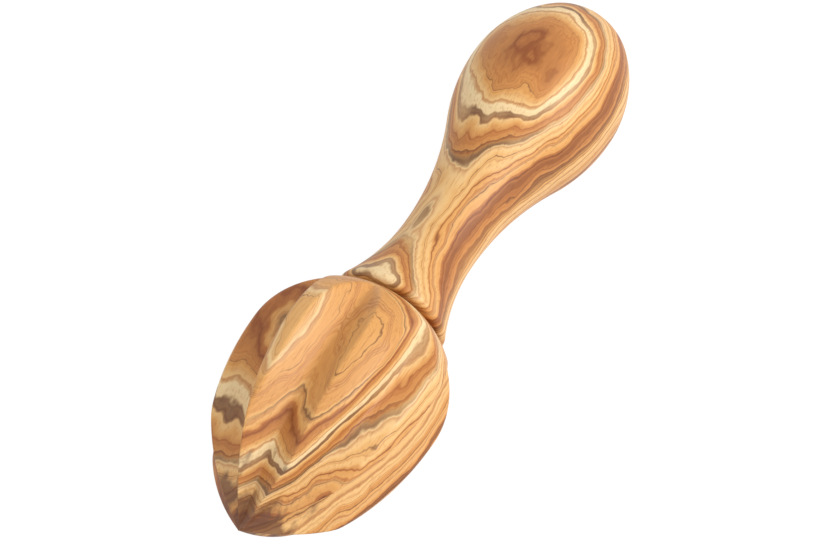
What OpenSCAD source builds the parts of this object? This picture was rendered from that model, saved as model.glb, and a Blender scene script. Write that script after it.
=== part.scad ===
// Wooden citrus reamer, lying on its side: a fluted head glued onto a turned handle.
// Lengths are in millimetres and angles in degrees. A station is a distance along the
// turning axis, counted from the tip of the head. The part lies along X as it rests on
// a table at z = 0: the tip points to -X, the knob to +X, and the axis dips to the knob.

/* [Head] */
// Length of the head, from its tip to the joint with the handle
head_l = 60; // [55:0.5:66]
// Diameter over the lands, at the widest station
head_d = 45.8; // [42:0.2:50]
// Station of the head's greatest diameter
head_widest_at = 41.5; // [36:0.5:45]
// Radius of the blunt nose, before the flutes are cut
nose_r = 16; // [12:0.5:18]
// Diameter at the bottom of the groove between head and collar
groove_d = 19.6; // [16:0.2:23]

/* [Flutes] */
// Number of flutes round the head
flute_count = 8; // [6:1:10]
// Angle between the two walls of a flute
flute_angle = 112; // [100:1:120]
// Diameter over the flute bottoms, at the widest station
core_d = 35.2; // [32:0.2:37]

/* [Handle] */
// Length of the handle, from the joint to the end of the knob
handle_l = 90; // [80:0.5:100]
// Diameter of the collar behind the groove
collar_d = 26; // [23:0.2:29]
// Round of the collar's rim
rim_r = 1.2; // [0.6:0.1:2]
// Diameter of the neck at its thinnest
neck_d = 17.3; // [15:0.1:20]
// Distance from the joint to the thinnest part of the neck
neck_at = 21.5; // [18:0.5:26]
// Diameter of the knob
knob_d = 36; // [32:0.2:40]
// Distance from the joint to the knob's greatest diameter
knob_at = 66.5; // [60:0.5:70]
// Radius of the swell from the neck to the knob
swell_r = 41; // [30:1:50]
// Radius of the knob's round end
knob_end_r = 15; // [13:0.5:16]

/* [Glued joint] */
// Diameter of the tenon turned on the handle
tenon_d = 11; // [9:0.5:13]
// Length of the tenon
tenon_l = 22; // [16:1:28]
// Glue line left all round the tenon
glue_line = 0.1; // [0.05:0.01:0.2]
// Room for glue past the tenon's end
socket_spare_l = 0.5; // [0.3:0.1:1.5]
// Bevel on the tenon's leading edge
tenon_bevel = 0.8; // [0.4:0.1:1.2]

/* [Hidden] */
$fn = 96;

// How far each flute strays from even spacing, as it was cut by hand and eye.
// The first flute faces the table, and the others follow towards +Y.
flute_stray = [0, -1, -2, -4, -5, -3, -5, -2, 0, -1];
// How much shallower than the first each flute is
flute_lift = [0, 0.1, -0.1, -0.5, 0, 0.9, -0.4, 0.1, 0, 0.1];
// Depth of a flute cutter, well clear of the head's surface
cutter_depth = 12;
// How far the socket's cutter runs past the joint's face
overcut = 1;
// How far the tenon's root runs on inside the handle
root_l = 4;
// Steps in each curve of the head and the knob, and in the nose's round
curve_steps = 12;
nose_steps = 8;
// How far off the axis each flute ends at the tip
tip_left = 0.8;

length_all = head_l + handle_l;
head_r = head_d / 2;
groove_r = groove_d / 2;
core_r = core_d / 2;
collar_r = collar_d / 2;
neck_r = neck_d / 2;
knob_r = knob_d / 2;

// Stations of the handle's features
neck_station = head_l + neck_at;
knob_station = head_l + knob_at;
knob_end_centre = length_all - knob_end_r;

// Radius of the arc between two coaxial features that it touches from inside: it peaks
// at radius big, and takes in an end round of radius end_r whose centre is run away.
function taper_radius(big, end_r, run) = (run * run + big * big - end_r * end_r) / (2 * (big - end_r));

// The flank runs from the nose to the widest station, and the shoulder on to the groove
flank_r = taper_radius(head_r, nose_r, head_widest_at - nose_r);
nose_ends = nose_r - nose_r * (head_widest_at - nose_r) / (flank_r - nose_r);
shoulder_run = head_l - head_widest_at;
shoulder_drop = head_r - groove_r;
shoulder_r = (shoulder_run * shoulder_run + shoulder_drop * shoulder_drop) / (2 * shoulder_drop);

// The flare is the hollow curve from the collar's rim to the neck, and touches both
rim_centre = collar_r - rim_r;
flare_run = neck_at - rim_r;
flare_r = (flare_run * flare_run + (rim_centre - neck_r) * (rim_centre - neck_r) - rim_r * rim_r)
    / (2 * (collar_r - neck_r));
rim_ends = head_l + rim_r + rim_r * flare_run / (flare_r + rim_r);

// The hollow runs on from the neck until it meets the knob's swell
swell_run = knob_at - neck_at;
swell_rise = knob_r - neck_r;
hollow_r = (swell_run * swell_run + swell_rise * swell_rise) / (2 * swell_rise) - swell_r;
hollow_ends = neck_station + swell_run * hollow_r / (hollow_r + swell_r);

// The knob's back closes onto its round end
back_r = taper_radius(knob_r, knob_end_r, knob_end_centre - knob_station);
back_ends = knob_end_centre + knob_end_r * (knob_end_centre - knob_station) / (back_r - knob_end_r);

// A flute's bottom is one arc that peaks at the widest station and ends at the tip
flute_r = (head_widest_at * head_widest_at + core_r * core_r) / (2 * core_r);
flute_centre = core_r - flute_r;

// The part rests on the two edges of the flute that faces the table, and on the knob
wall_angle = flute_angle / 2;
function land_r(at) =
    let (r = at < head_widest_at ? flank_r : shoulder_r)
    head_r - r + sqrt(r * r - pow(at - head_widest_at, 2));
function bottom_r(at) = flute_centre + sqrt(pow(flute_r, 2) - pow(at - head_widest_at, 2));
function edge_drop(at) =
    land_r(at) * cos(wall_angle - asin(bottom_r(at) * sin(wall_angle) / land_r(at)));
function head_reach(dip) =
    max([for (at = [head_widest_at - 6 : 0.25 : head_widest_at + 6]) edge_drop(at) * cos(dip) + at * sin(dip)]);
function knob_reach(dip) = (knob_r - back_r) * cos(dip) + knob_station * sin(dip) + back_r;
function settled(dip, steps) =
    steps == 0 ? dip
    : settled(dip + (head_reach(dip) - knob_reach(dip)) / (knob_station - head_widest_at) * 180 / PI, steps - 1);
rest_dip = settled(0, 6);
rest_height = knob_reach(rest_dip);
rest_middle = (knob_end_centre * cos(rest_dip) + knob_end_r) / 2;

// Half-profiles are drawn with the radius along X and the station along Y.
// The slice under a full curve, from one station to another
module under_round(from, to, centre_at, centre_r, r) {
    intersection() {
        union() {
            translate([centre_r, centre_at]) circle(r);
            translate([0, from]) square([max(centre_r, 0.01), to - from]);
        }
        translate([0, from]) square([2 * head_r, to - from]);
    }
}

// The slice under a hollow curve, from one station to another
module under_hollow(from, to, centre_at, centre_r, r) {
    difference() {
        translate([0, from]) square([centre_r, to - from]);
        translate([centre_r, centre_at]) circle(r);
    }
}

// Stands a half-profile up on the turning axis, which lies along X
module turned() {
    rotate([0, 90, 0]) rotate_extrude() children();
}

// Lays the part down as it rests on the table
module at_rest() {
    translate([-rest_middle, 0, rest_height]) rotate([0, rest_dip, 0]) children();
}

// Points along a full curve, from one station up to another
function curve_points(from, to, centre_at, centre_r, r) =
    let (start = asin((from - centre_at) / r), end = asin((to - centre_at) / r))
    [for (i = [0 : curve_steps - 1])
        let (a = start + (end - start) * i / curve_steps)
        [centre_r + r * cos(a), centre_at + r * sin(a)]];

// The head as it comes off the lathe: the nose, the flank and the shoulder
module turned_head() {
    turned() polygon(concat(
        [[0, 0]],
        [for (i = [1 : nose_steps - 1])
            let (a = acos(1 - nose_ends / nose_r) * i / nose_steps)
            [nose_r * sin(a), nose_r - nose_r * cos(a)]],
        curve_points(nose_ends, head_widest_at, head_widest_at, head_r - flank_r, flank_r),
        curve_points(head_widest_at, head_l, head_widest_at, head_r - shoulder_r, shoulder_r),
        [[groove_r, head_l], [0, head_l]]));
}

// One flute: a V-section swept along its arc, cut into the side that faces +Z
module flute(lift) {
    spread = cutter_depth * tan(wall_angle);
    from = acos((head_l - head_widest_at) / flute_r);
    to = 180 - acos(head_widest_at / flute_r) - tip_left / flute_r * 180 / PI;
    translate([head_widest_at, 0, flute_centre + lift])
        rotate([90, 0, 0])
            rotate([0, 0, from])
                rotate_extrude(angle = to - from)
                    polygon([[flute_r, 0], [flute_r + cutter_depth, -spread], [flute_r + cutter_depth, spread]]);
}

// The bore that takes the handle's tenon
module socket() {
    depth = tenon_l + socket_spare_l;
    translate([head_l - depth, 0, 0])
        rotate([0, 90, 0]) cylinder(d = tenon_d + 2 * glue_line, h = depth + overcut);
}

module reaming_head() {
    color("burlywood") at_rest() difference() {
        turned_head();
        for (i = [0 : flute_count - 1])
            rotate([180 + i * 360 / flute_count + flute_stray[i], 0, 0]) flute(flute_lift[i]);
        socket();
    }
}

// The tenon, with a bevel that leads it into the socket, and its root inside the handle
module tenon() {
    translate([head_l - tenon_l, 0, 0]) rotate([0, 90, 0]) {
        cylinder(d1 = tenon_d - 2 * tenon_bevel, d2 = tenon_d, h = tenon_bevel);
        translate([0, 0, tenon_bevel]) cylinder(d = tenon_d, h = tenon_l - tenon_bevel + root_l);
    }
}

// The knob's half-profile: the swell, the back and the round end
module knob_profile() {
    polygon(concat(
        curve_points(hollow_ends, knob_station, knob_station, knob_r - swell_r, swell_r),
        curve_points(knob_station, back_ends, knob_station, knob_r - back_r, back_r),
        curve_points(back_ends, length_all, knob_end_centre, 0, knob_end_r),
        [[0, length_all], [0, hollow_ends]]));
}

module handle() {
    color("peru") at_rest() {
        turned() {
            under_round(head_l, rim_ends, head_l + rim_r, rim_centre, rim_r);
            under_hollow(rim_ends, neck_station, neck_station, neck_r + flare_r, flare_r);
            under_hollow(neck_station, hollow_ends, neck_station, neck_r + hollow_r, hollow_r);
            knob_profile();
        }
        tenon();
    }
}

reaming_head();
handle();
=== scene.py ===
"""Wooden citrus reamer, lying at rest: a fluted head and a turned handle in figured wood.

Lengths are in metres and angles in radians unless a name says otherwise. A station is a
distance along the turning axis, counted from the tip of the head.
"""

import bpy
import numpy as np
from mathutils import Matrix, Vector


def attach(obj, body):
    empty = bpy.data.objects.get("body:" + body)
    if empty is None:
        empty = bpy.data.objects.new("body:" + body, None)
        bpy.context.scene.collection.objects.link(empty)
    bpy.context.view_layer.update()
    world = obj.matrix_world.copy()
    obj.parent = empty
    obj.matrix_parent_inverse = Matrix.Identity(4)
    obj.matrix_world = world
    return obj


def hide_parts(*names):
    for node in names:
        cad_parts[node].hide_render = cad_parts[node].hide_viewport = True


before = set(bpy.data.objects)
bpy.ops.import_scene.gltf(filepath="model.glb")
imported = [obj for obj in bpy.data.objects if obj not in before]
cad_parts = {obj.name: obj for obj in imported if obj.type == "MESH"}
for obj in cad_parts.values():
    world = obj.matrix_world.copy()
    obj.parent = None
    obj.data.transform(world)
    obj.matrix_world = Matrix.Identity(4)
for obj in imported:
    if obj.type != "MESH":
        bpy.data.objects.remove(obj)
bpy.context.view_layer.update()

MM = 0.001

# The turning axis as it rests on the table: its tip, and how far it dips to the knob
DIP = np.radians(2.6678)
TIP = Vector((-74.927, 0.0, 23.899)) * MM

# The head, in millimetres
HEAD_L = 60.0
HEAD_R = 22.9
WIDEST_AT = 41.5
NOSE_R = 16.0
GROOVE_R = 9.8
WALL_ANGLE = np.radians(56.0)
CORE_R = 17.6
SOFTENED_EDGE = 0.45
VALLEY_ROUND = 0.05
# Past this angle from its middle, a flute's walls don't reach the head
FLUTE_REACH = np.radians(50)
UNCUT = 1e3
HEAD_COLUMNS = 448

# How far each flute strays from even spacing, and how much shallower than the first it
# is. The first faces the table, and the others follow towards +Y.
FLUTE_STRAY = np.radians([0, -1, -2, -4, -5, -3, -5, -2])
FLUTE_LIFT = (0, 0.1, -0.1, -0.5, 0, 0.9, -0.4, 0.1)

# The bore in the head that takes the handle's tenon, in millimetres
SOCKET_R = 5.6
SOCKET_L = 22.5

# The handle, in millimetres
LENGTH = 150.0
COLLAR_R = 13.0
RIM_R = 1.2
NECK_R = 8.65
NECK_AT = 81.5
KNOB_R = 18.0
KNOB_AT = 126.5
SWELL_R = 41.0
KNOB_END_R = 15.0
TENON_R = 5.5
TENON_L = 22.0
TENON_BEVEL = 0.8
HANDLE_COLUMNS = 256

# The camera: a long lens on a frame 833 pixels wide, and where it sees the tip, counted
# to the right, down and away from the lens
FRAME_W = 833.0
FOCAL_PX = 3600.0
SENSOR_W = 36.0
HEADING = np.radians(30.18)
ELEVATION = np.radians(59.11)
TIP_SEEN = Vector((-36.1, 51.2, 728.8)) * MM

# The table is a square, from the middle to each side
TABLE_HALF = 3.0
AIM = Vector((0, 0, 0.02))

# Growth layers lean from up towards +Y by this much, and rise slightly to the knob
LAYER_LEAN = np.radians(18)
LAYER_RISE = 0.05


def arc(from_s, to_s, centre_s, centre_r, r, steps):
    """Stations and radii along a full curve: a circle of radius r about (centre_s, centre_r)."""
    start = np.arcsin(np.clip((from_s - centre_s) / r, -1, 1))
    end = np.arcsin(np.clip((to_s - centre_s) / r, -1, 1))
    a = np.linspace(start, end, steps)
    return np.column_stack([centre_s + r * np.sin(a), centre_r + r * np.cos(a)])


def hollow(from_s, to_s, centre_s, centre_r, r, steps):
    """Stations and radii along a hollow curve: the side of the circle that faces the axis."""
    s = np.linspace(from_s, to_s, steps)
    return np.column_stack([s, centre_r - np.sqrt(r * r - (s - centre_s) ** 2)])


def line(a, b, steps):
    """Evenly spaced stations and radii from point a to point b."""
    t = np.linspace(0, 1, steps)[:, None]
    return (1 - t) * np.array(a, float) + t * np.array(b, float)


def taper_radius(big, end_r, run):
    """Radius of the arc that peaks at big and touches an end round of radius end_r from
    outside, run away: (run^2 + big^2 - end_r^2) / 2 (big - end_r)."""
    return (run * run + big * big - end_r * end_r) / (2 * (big - end_r))


def joined(*runs):
    """The runs one after another, with each repeated point dropped."""
    points = [runs[0]]
    for run in runs[1:]:
        same = np.abs(run[0] - points[-1][-1]).max() < 1e-6
        points.append(run[1:] if same else run)
    return np.vstack(points)


def turned(name, stations, radii):
    """A closed surface round the turning axis. Row i stands at stations[i]; its radius at
    angle a, counted from up towards -Y, is radii[i, a]. The first and last rows are poles.
    A point is tip + s * axis + r (cos a * up + sin a * side)."""
    rows, columns = radii.shape
    a = np.linspace(0, 2 * np.pi, columns, endpoint=False)
    axis = np.array([np.cos(DIP), 0, -np.sin(DIP)])
    up = np.array([np.sin(DIP), 0, np.cos(DIP)])
    side = np.array([0, -1.0, 0])
    out = np.cos(a)[:, None] * up + np.sin(a)[:, None] * side
    grid = stations[:, None, None] * axis + radii[:, :, None] * out[None]
    points = np.array(TIP) + MM * grid
    inner = points[1:-1].reshape(-1, 3)
    verts = np.vstack([inner, points[0, :1], points[-1, :1]])
    first_pole, last_pole = len(inner), len(inner) + 1
    bands = rows - 3
    here = np.arange(columns)
    beside = (here + 1) % columns
    row = np.arange(bands)[:, None] * columns
    quads = np.stack([row + here, row + beside, row + columns + beside, row + columns + here], -1)
    last_row = bands * columns
    first_fan = np.column_stack([np.full(columns, first_pole), beside, here])
    last_fan = np.column_stack([np.full(columns, last_pole), last_row + here, last_row + beside])
    mesh = bpy.data.meshes.new(name)
    faces = quads.reshape(-1, 4).tolist() + first_fan.tolist() + last_fan.tolist()
    mesh.from_pydata(verts.tolist(), [], faces)
    mesh.validate()
    piece = bpy.data.objects.new(name, mesh)
    bpy.context.scene.collection.objects.link(piece)
    face_outwards(mesh)
    mesh.shade_smooth()
    return piece


def face_outwards(mesh):
    """Turns every face over where the closed mesh's signed volume is negative."""
    mesh.calc_loop_triangles()
    points = np.empty(len(mesh.vertices) * 3)
    mesh.vertices.foreach_get("co", points)
    corners = np.empty(len(mesh.loop_triangles) * 3, int)
    mesh.loop_triangles.foreach_get("vertices", corners)
    a, b, c = points.reshape(-1, 3)[corners.reshape(-1, 3)].transpose(1, 0, 2)
    if np.einsum("ij,ij->i", a, np.cross(b, c)).sum() < 0:
        mesh.flip_normals()


def soft_min(a, b, reach):
    """The smaller of a and b, blended over a band of width reach where they are close."""
    h = np.clip(0.5 + (b - a) / (2 * reach), 0, 1)
    return b + (a - b) * h - reach * h * (1 - h)


def flute_radius(s, delta, lift):
    """Distance from the axis at which a ray at angle delta from a flute's direction meets
    its walls. A wall point keeps hypot(s - widest, x - centre) = R + |y| / tan(wall), with
    x = r cos delta and y = r sin delta, which is a quadratic in r. A small term added to
    sin delta rounds the valley."""
    bottom_r = (WIDEST_AT ** 2 + CORE_R ** 2) / (2 * CORE_R)
    centre = CORE_R - bottom_r + lift
    slope = np.sqrt(np.sin(delta) ** 2 + VALLEY_ROUND ** 2) / np.tan(WALL_ANGLE)
    a = np.cos(delta) ** 2 - slope ** 2
    b = -2 * (centre * np.cos(delta) + bottom_r * slope)
    c = np.minimum(centre ** 2 + (s - WIDEST_AT) ** 2 - bottom_r ** 2, 0)
    root = np.sqrt(np.maximum(b * b - 4 * a * c, 0))
    r = -2 * c / np.maximum(b + root, 1e-9)
    return np.where(np.abs(delta) < FLUTE_REACH, r, UNCUT)


def head_piece():
    """The turned egg with its V-flutes, its back face and its socket. Each outer radius is
    the smallest of the turned radius and the flutes' radii, softened where two are close."""
    flank = taper_radius(HEAD_R, NOSE_R, WIDEST_AT - NOSE_R)
    nose_ends = NOSE_R - NOSE_R * (WIDEST_AT - NOSE_R) / (flank - NOSE_R)
    drop = HEAD_R - GROOVE_R
    run = HEAD_L - WIDEST_AT
    shoulder = (run * run + drop * drop) / (2 * drop)
    outer = joined(
        arc(0, nose_ends, NOSE_R, 0, NOSE_R, 50),
        arc(nose_ends, WIDEST_AT, WIDEST_AT, HEAD_R - flank, flank, 60),
        arc(WIDEST_AT, HEAD_L, WIDEST_AT, HEAD_R - shoulder, shoulder, 60))
    a = np.linspace(0, 2 * np.pi, HEAD_COLUMNS, endpoint=False)
    radii = np.repeat(outer[:, 1:], HEAD_COLUMNS, axis=1)
    count = len(FLUTE_LIFT)
    for i in range(count):
        facing = np.pi + 2 * np.pi * i / count + FLUTE_STRAY[i]
        delta = np.angle(np.exp(1j * (a - facing)))[None, :]
        radii = soft_min(radii, flute_radius(outer[:, :1], delta, FLUTE_LIFT[i]), SOFTENED_EDGE)
    radii = np.clip(radii, 0, outer[:, 1:])
    back = joined(
        line([HEAD_L, GROOVE_R], [HEAD_L, SOCKET_R], 4),
        line([HEAD_L, SOCKET_R], [HEAD_L - SOCKET_L, SOCKET_R], 6),
        line([HEAD_L - SOCKET_L, SOCKET_R], [HEAD_L - SOCKET_L, 0], 3))[1:]
    stations = np.concatenate([outer[:, 0], back[:, 0]])
    radii = np.vstack([radii, np.repeat(back[:, 1:], HEAD_COLUMNS, axis=1)])
    return turned("reamer_head", stations, radii)


def handle_piece():
    """Tenon, collar, neck and knob in one turning, from arcs that touch one another."""
    rim_centre = COLLAR_R - RIM_R
    flare_run = NECK_AT - HEAD_L - RIM_R
    flare = (flare_run ** 2 + (rim_centre - NECK_R) ** 2 - RIM_R ** 2) / (2 * (COLLAR_R - NECK_R))
    rim_ends = HEAD_L + RIM_R + RIM_R * flare_run / (flare + RIM_R)
    run, rise = KNOB_AT - NECK_AT, KNOB_R - NECK_R
    dip_r = (run * run + rise * rise) / (2 * rise) - SWELL_R
    dip_ends = NECK_AT + run * dip_r / (dip_r + SWELL_R)
    end_centre = LENGTH - KNOB_END_R
    back = taper_radius(KNOB_R, KNOB_END_R, end_centre - KNOB_AT)
    back_ends = end_centre + KNOB_END_R * (end_centre - KNOB_AT) / (back - KNOB_END_R)
    tenon_from = HEAD_L - TENON_L
    bevel_r = TENON_R - TENON_BEVEL
    profile = joined(
        line([tenon_from, 0], [tenon_from, bevel_r], 3),
        line([tenon_from, bevel_r], [tenon_from + TENON_BEVEL, TENON_R], 2),
        line([tenon_from + TENON_BEVEL, TENON_R], [HEAD_L, TENON_R], 6),
        line([HEAD_L, TENON_R], [HEAD_L, rim_centre], 5),
        arc(HEAD_L, rim_ends, HEAD_L + RIM_R, rim_centre, RIM_R, 12),
        hollow(rim_ends, NECK_AT, NECK_AT, NECK_R + flare, flare, 40),
        hollow(NECK_AT, dip_ends, NECK_AT, NECK_R + dip_r, dip_r, 40),
        arc(dip_ends, KNOB_AT, KNOB_AT, KNOB_R - SWELL_R, SWELL_R, 40),
        arc(KNOB_AT, back_ends, KNOB_AT, KNOB_R - back, back, 24),
        arc(back_ends, LENGTH, end_centre, 0, KNOB_END_R, 40))
    return turned("reamer_handle", profile[:, 0], np.repeat(profile[:, 1:], HANDLE_COLUMNS, axis=1))


def node(tree, kind, inputs=None, **settings):
    """A node with its settings, and its inputs set to values or linked to sockets."""
    new = tree.nodes.new(kind)
    for key, value in settings.items():
        setattr(new, key, value)
    for key, value in (inputs or {}).items():
        if isinstance(value, bpy.types.NodeSocket):
            tree.links.new(value, new.inputs[key])
        else:
            new.inputs[key].default_value = value
    return new


def math(tree, operation, a, b=0.0, c=0.0, clamp=False):
    """The result of a Math node."""
    new = node(tree, "ShaderNodeMath", {0: a, 1: b, 2: c}, operation=operation, use_clamp=clamp)
    return new.outputs[0]


def stretched(tree, vector, by):
    """A vector multiplied by another, which sets how quickly a pattern changes along it."""
    new = node(tree, "ShaderNodeVectorMath", {0: vector, 1: by}, operation="MULTIPLY")
    return new.outputs[0]


def noise(tree, dimensions, detail, roughness=0.5, **inputs):
    """The value of a Noise texture; Vector, W and Scale are given by name."""
    given = {"Scale": 1.0, "Detail": detail, "Roughness": roughness, **inputs}
    return node(tree, "ShaderNodeTexNoise", given, noise_dimensions=dimensions).outputs[0]


def blend_colours(tree, factor, a, b, kind="MIX"):
    """The result of a colour Mix node."""
    mix = node(tree, "ShaderNodeMix", {0: factor, 6: a, 7: b}, data_type="RGBA", blend_type=kind)
    return mix.outputs[2]


def ramp(tree, factor, stops):
    """A Color Ramp over factor with (position, colour) stops."""
    new = node(tree, "ShaderNodeValToRGB", {0: factor})
    elements = new.color_ramp.elements
    while len(elements) > 1:
        elements.remove(elements[-1])
    elements[0].position, elements[0].color = stops[0]
    for position, colour in stops[1:]:
        elements.new(position).color = colour
    return new.outputs[0]


def srgb(r, g, b):
    """Linear colour from 0-255 display values."""
    c = np.array([r, g, b]) / 255
    lin = np.where(c <= 0.04045, c / 12.92, ((c + 0.055) / 1.055) ** 2.4)
    return (*lin.tolist(), 1.0)


def olive_wood_group():
    """Figured wood. Growth layers are wavy sheets whose normal leans from up; the depth of
    a point through them picks its colour, and thin dark lines part some of the layers."""
    tree = bpy.data.node_groups.new("olive_wood", "ShaderNodeTree")
    for name, side, kind in (("Vector", "INPUT", "Vector"), ("Depth shift", "INPUT", "Float"),
                             ("Seed", "INPUT", "Float"), ("Color", "OUTPUT", "Color"),
                             ("Pores", "OUTPUT", "Float")):
        tree.interface.new_socket(name, in_out=side, socket_type="NodeSocket" + kind)
    given = tree.nodes.new("NodeGroupInput")
    seed = given.outputs["Seed"]
    mm = stretched(tree, given.outputs["Vector"], (1 / MM, 1 / MM, 1 / MM))
    # Wander of the layers: slow along the grain, quicker across it
    wander = noise(tree, "4D", 2.0, Vector=stretched(tree, mm, (0.022, 0.06, 0.06)), W=seed)
    ripple = noise(tree, "4D", 3.0, 0.55, Vector=stretched(tree, mm, (0.09, 0.16, 0.16)), W=seed)
    normal = (LAYER_RISE, np.sin(LAYER_LEAN), np.cos(LAYER_LEAN))
    through = node(tree, "ShaderNodeVectorMath", {0: mm, 1: normal}, operation="DOT_PRODUCT")
    depth = math(tree, "ADD", through.outputs["Value"], given.outputs["Depth shift"])
    depth = math(tree, "MULTIPLY_ADD", wander, 11.0, depth)
    depth = math(tree, "MULTIPLY_ADD", ripple, 3.2, depth)
    # Broad colour of the layers
    broad = noise(tree, "1D", 2.0, 0.55, W=depth, Scale=0.19)
    colour = ramp(tree, broad, [
        (0.30, srgb(150, 92, 48)), (0.40, srgb(196, 132, 72)), (0.50, srgb(222, 166, 98)),
        (0.58, srgb(232, 190, 130)), (0.70, srgb(240, 214, 168))])
    # Fine layers within them
    fine_tint = ramp(tree, noise(tree, "1D", 3.0, 0.6, W=depth, Scale=1.1), [
        (0.32, srgb(196, 150, 110)), (0.52, srgb(250, 244, 234)), (0.72, srgb(255, 255, 252))])
    colour = blend_colours(tree, 0.75, colour, fine_tint, "MULTIPLY")
    # Thin dark lines between some layers, which fade in and out along the wood
    parting = noise(tree, "1D", 1.0, W=depth, Scale=0.33)
    off_line = math(tree, "ABSOLUTE", math(tree, "SUBTRACT", parting, 0.5))
    dark_line = math(tree, "SUBTRACT", 1.0, math(tree, "DIVIDE", off_line, 0.020), clamp=True)
    fade = noise(tree, "3D", 2.0, Vector=stretched(tree, mm, (0.03, 0.09, 0.09)))
    fade = math(tree, "MULTIPLY_ADD", fade, 3.0, -0.75, clamp=True)
    dark = math(tree, "MULTIPLY", math(tree, "MULTIPLY", dark_line, fade), 0.85)
    colour = blend_colours(tree, dark, colour, srgb(98, 56, 32))
    # Pores: short fine streaks along the grain
    pores = noise(tree, "3D", 3.0, 0.6, Vector=stretched(tree, mm, (0.14, 2.6, 2.6)))
    pore_tint = ramp(tree, pores, [(0.30, srgb(205, 175, 150)), (0.46, srgb(255, 252, 248))])
    colour = blend_colours(tree, 0.55, colour, pore_tint, "MULTIPLY")
    out = tree.nodes.new("NodeGroupOutput")
    tree.links.new(colour, out.inputs["Color"])
    tree.links.new(pores, out.inputs["Pores"])
    return tree


def heartwood_mask(tree, where, spread_mm):
    """One at the tip and nought past about spread_mm along X, with a ragged edge."""
    ragged = noise(tree, "3D", 4.0, 0.6, Vector=stretched(tree, where, (60, 170, 170)))
    edge = math(tree, "MULTIPLY_ADD", ragged, 0.05, spread_mm * MM - 0.025)
    along = node(tree, "ShaderNodeSeparateXYZ", {0: where}).outputs["X"]
    heart = math(tree, "MULTIPLY", math(tree, "SUBTRACT", edge, along), 160.0, clamp=True)
    return math(tree, "MULTIPLY", heart, 0.8)


def wood_material(name, group, depth_shift, seed, heart_to=None):
    """Oiled satin wood, cut from its own depth of the layers. With heart_to, dark heartwood
    spreads from the tip up to about that X in millimetres."""
    material = bpy.data.materials.new(name)
    material.use_nodes = True
    tree = material.node_tree
    tree.nodes.clear()
    where = node(tree, "ShaderNodeTexCoord").outputs["Object"]
    wood = node(tree, "ShaderNodeGroup", node_tree=group)
    tree.links.new(where, wood.inputs["Vector"])
    wood.inputs["Depth shift"].default_value = depth_shift
    wood.inputs["Seed"].default_value = seed
    colour, pores = wood.outputs["Color"], wood.outputs["Pores"]
    if heart_to is not None:
        colour = blend_colours(tree, heartwood_mask(tree, where, heart_to), colour, srgb(104, 62, 38))
    bump = node(tree, "ShaderNodeBump", {"Height": pores, "Strength": 0.12, "Distance": 0.0002})
    shader = node(tree, "ShaderNodeBsdfPrincipled", {
        "Base Color": colour, "Roughness": math(tree, "MULTIPLY_ADD", pores, -0.12, 0.52),
        "Normal": bump.outputs[0], "Specular IOR Level": 0.4})
    node(tree, "ShaderNodeOutputMaterial", {"Surface": shader.outputs[0]})
    return material


def white_stage(owner, is_world=False):
    """White to the camera and to gloss, and a plain pale surface or light to the rest."""
    tree = owner.node_tree
    tree.nodes.clear()
    path = node(tree, "ShaderNodeLightPath").outputs
    gloss = math(tree, "MAXIMUM", path["Is Glossy Ray"], path["Is Transmission Ray"])
    seen = math(tree, "MAXIMUM", path["Is Camera Ray"], gloss)
    if is_world:
        white = node(tree, "ShaderNodeBackground", {"Color": (1, 1, 1, 1), "Strength": 1.0})
        plain = node(tree, "ShaderNodeBackground", {"Color": (1, 1, 1, 1), "Strength": 0.55})
        out = node(tree, "ShaderNodeOutputWorld")
    else:
        seen = math(tree, "MULTIPLY", seen, 0.9)
        white = node(tree, "ShaderNodeEmission", {"Color": (1, 1, 1, 1), "Strength": 1.06})
        plain = node(tree, "ShaderNodeBsdfDiffuse", {"Color": (0.9, 0.9, 0.9, 1)})
        out = node(tree, "ShaderNodeOutputMaterial")
    mixed = node(tree, "ShaderNodeMixShader", {0: seen, 1: plain.outputs[0], 2: white.outputs[0]})
    tree.links.new(mixed.outputs[0], out.inputs["Surface"])


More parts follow.
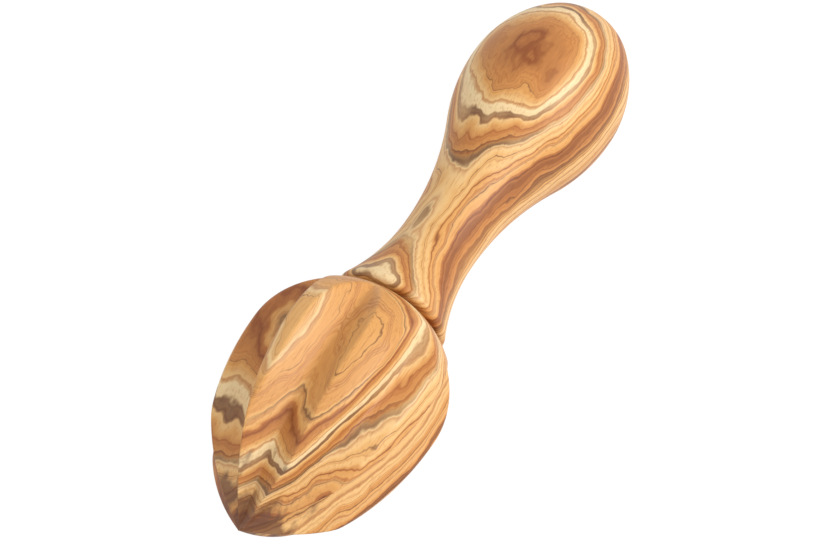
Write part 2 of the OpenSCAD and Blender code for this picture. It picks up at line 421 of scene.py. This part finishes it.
def area_light(name, at, size, power):
    """A soft square lamp that looks at the middle of the reamer."""
    lamp = bpy.data.lights.new(name, "AREA")
    lamp.size = size
    lamp.energy = power
    thing = bpy.data.objects.new(name, lamp)
    bpy.context.scene.collection.objects.link(thing)
    turn = (AIM - Vector(at)).to_track_quat("-Z", "Y")
    thing.matrix_world = Matrix.Translation(at) @ turn.to_matrix().to_4x4()


group = olive_wood_group()
head = head_piece()
head.data.materials.append(wood_material("head_wood_grain", group, 3.0, 2.0, heart_to=-66.0))
handle = handle_piece()
handle.data.materials.append(wood_material("handle_wood_grain", group, 0.0, 5.0))
for piece, cad_node, slot in ((head, "reaming_head", "head_wood"), (handle, "handle", "handle_wood")):
    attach(piece, "root")
    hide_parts(cad_node)

floor_mesh = bpy.data.meshes.new("table_top")
corners = [(x * TABLE_HALF, y * TABLE_HALF, 0) for x, y in ((-1, -1), (1, -1), (1, 1), (-1, 1))]
floor_mesh.from_pydata(corners, [], [(0, 1, 2, 3)])
floor = bpy.data.objects.new("table_top", floor_mesh)
bpy.context.scene.collection.objects.link(floor)
floor_material = bpy.data.materials.new("white_table")
floor_material.use_nodes = True
white_stage(floor_material)
floor_mesh.materials.append(floor_material)

world = bpy.data.worlds.new("studio")
world.use_nodes = True
white_stage(world, is_world=True)
bpy.context.scene.world = world

area_light("key", (0.25, -0.75, 0.75), 0.6, 9.0)
area_light("fill", (-0.6, 0.35, 0.7), 0.8, 2.0)

# The camera looks down on the reamer from the tip's end
right = Vector((np.sin(HEADING), -np.cos(HEADING), 0))
level = np.cos(ELEVATION)
ahead = Vector((level * np.cos(HEADING), level * np.sin(HEADING), -np.sin(ELEVATION)))
over = right.cross(ahead)
spot = TIP - (TIP_SEEN.x * right - TIP_SEEN.y * over + TIP_SEEN.z * ahead)
turn = Matrix((right, over, -ahead)).transposed().to_4x4()
lens = bpy.data.cameras.new("camera")
lens.sensor_width = SENSOR_W
lens.lens = FOCAL_PX / FRAME_W * SENSOR_W
lens.clip_start = 0.01
camera = bpy.data.objects.new("camera", lens)
bpy.context.scene.collection.objects.link(camera)
camera.matrix_world = Matrix.Translation(spot) @ turn
bpy.context.scene.camera = camera
bpy.context.scene.view_settings.view_transform = "Standard"
